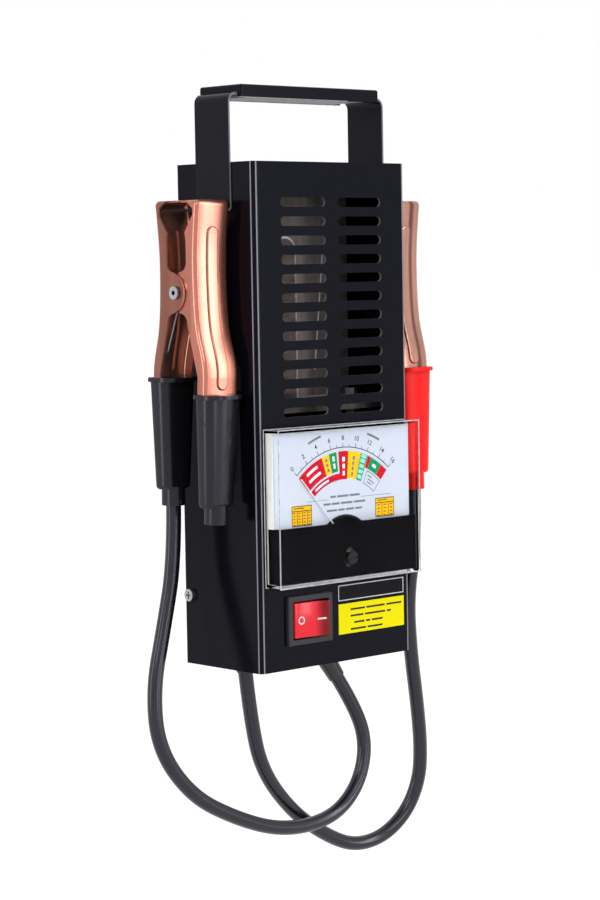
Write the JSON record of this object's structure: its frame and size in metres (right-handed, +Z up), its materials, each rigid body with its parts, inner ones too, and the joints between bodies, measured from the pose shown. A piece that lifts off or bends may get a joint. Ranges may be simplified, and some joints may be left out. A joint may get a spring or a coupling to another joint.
{
  "type": "battery load tester",
  "caption": "Hand-held battery load tester: slotted black steel case with carrying handle, panel meter, red load switch and sprung copper clamps on looped cables hung from side lugs.",
  "frame": {"origin": "middle of the carrying strap's underside, where the hand holds it", "axes": "+X to the right seen from the front, +Y to the back, +Z up"},
  "size_m": [0.1875, 0.0704, 0.4132],
  "materials": {
    "case_paint": "semi-gloss black paint",
    "strap_paint": "semi-gloss black paint",
    "handle_plastic": "fine matt",
    "black_steel": "blackened",
    "shield_steel": "dull",
    "ribbon_steel": "bright rolled",
    "board": "plain insulating board",
    "bright_steel": "zinc plated",
    "brass": "plain",
    "cream_plastic": "moulded",
    "clear_plastic": "clear polished",
    "black_plastic": "moulded satin",
    "dial_paint": "matt print",
    "pointer_paint": "matt black",
    "copper": "copper plated sheet",
    "red_plastic": "satin",
    "black_rubber": "matt",
    "cable_rubber": "satin",
    "red_wire": "satin",
    "black_wire": "satin",
    "rivet_steel": "plated",
    "spring_steel": "drawn wire",
    "black_pvc": "soft satin",
    "red_pvc": "soft satin"
  },
  "bodies": {
    "case": {"front_case": "case_paint", "rear_cover": "case_paint", "cover_screws": "black_steel", "handle_strap": "strap_paint", "handle_grip": "handle_plastic", "heat_shield": "shield_steel", "load_element": "ribbon_steel", "element_board": "board", "element_bolts": "bright_steel", "meter_base": "cream_plastic", "meter_cover": "clear_plastic", "meter_mask": "black_plastic", "dial_plate": "dial_paint", "meter_yoke": "bright_steel", "meter_core": "bright_steel", "meter_bridges": "brass", "meter_studs": "brass", "meter_fixings": "bright_steel", "switch_housing": "black_plastic", "switch_terminals": "brass", "grommet_left": "black_rubber", "grommet_right": "black_rubber", "cable_negative": "cable_rubber", "cable_positive": "cable_rubber", "lead_positive": "red_wire", "lead_switch": "red_wire", "lead_negative": "black_wire", "left_cable_jaw": "copper", "left_clamp_rivet": "rivet_steel", "left_clamp_spring": "spring_steel", "left_cable_grip": "black_pvc", "right_cable_jaw": "copper", "right_clamp_rivet": "rivet_steel", "right_clamp_spring": "spring_steel", "right_cable_grip": "red_pvc"},
    "left_free_half": {"left_free_jaw": "copper", "left_free_grip": "black_pvc"},
    "right_free_half": {"right_free_jaw": "copper", "right_free_grip": "red_pvc"},
    "rocker": {"switch_rocker": "red_plastic"},
    "pointer_set": {"pointer": "pointer_paint", "moving_coil": "copper"},
    "zero_set": {"zero_screw": "black_plastic"}
  },
  "joints": [
    {"name": "left_clamp_squeeze", "type": "hinge", "parent": "case", "child": "left_free_half", "pos_m": [-0.06863, 0.0005, -0.099], "axis": [1, 0, 0], "range_deg": [0, 10], "stiffness_Nm_per_rad": 1.2, "springref_deg": -20.05, "deforming": ["left_clamp_spring"]},
    {"name": "right_clamp_squeeze", "type": "hinge", "parent": "case", "child": "right_free_half", "pos_m": [0.06782, 0.0005, -0.099], "axis": [-1, 0, 0], "range_deg": [0, 10], "stiffness_Nm_per_rad": 1.2, "springref_deg": -20.05, "deforming": ["right_clamp_spring"]},
    {"name": "load_press", "type": "hinge", "parent": "case", "child": "rocker", "pos_m": [-0.0208, -0.02854, -0.267], "axis": [0, 0, 1], "range_deg": [0, 18], "stiffness_Nm_per_rad": 0.06, "springref_deg": -14.32},
    {"name": "pointer_swing", "type": "hinge", "parent": "case", "child": "pointer_set", "pos_m": [0, -0.014, -0.2285], "axis": [0, 1, 0], "range_deg": [0, 84], "stiffness_Nm_per_rad": 0.002, "springref_deg": -17.19},
    {"name": "zero_turn", "type": "hinge", "parent": "case", "child": "zero_set", "pos_m": [0, -0.04, -0.2365], "axis": [0, 1, 0], "range_deg": [-15, 15]}
  ]
}
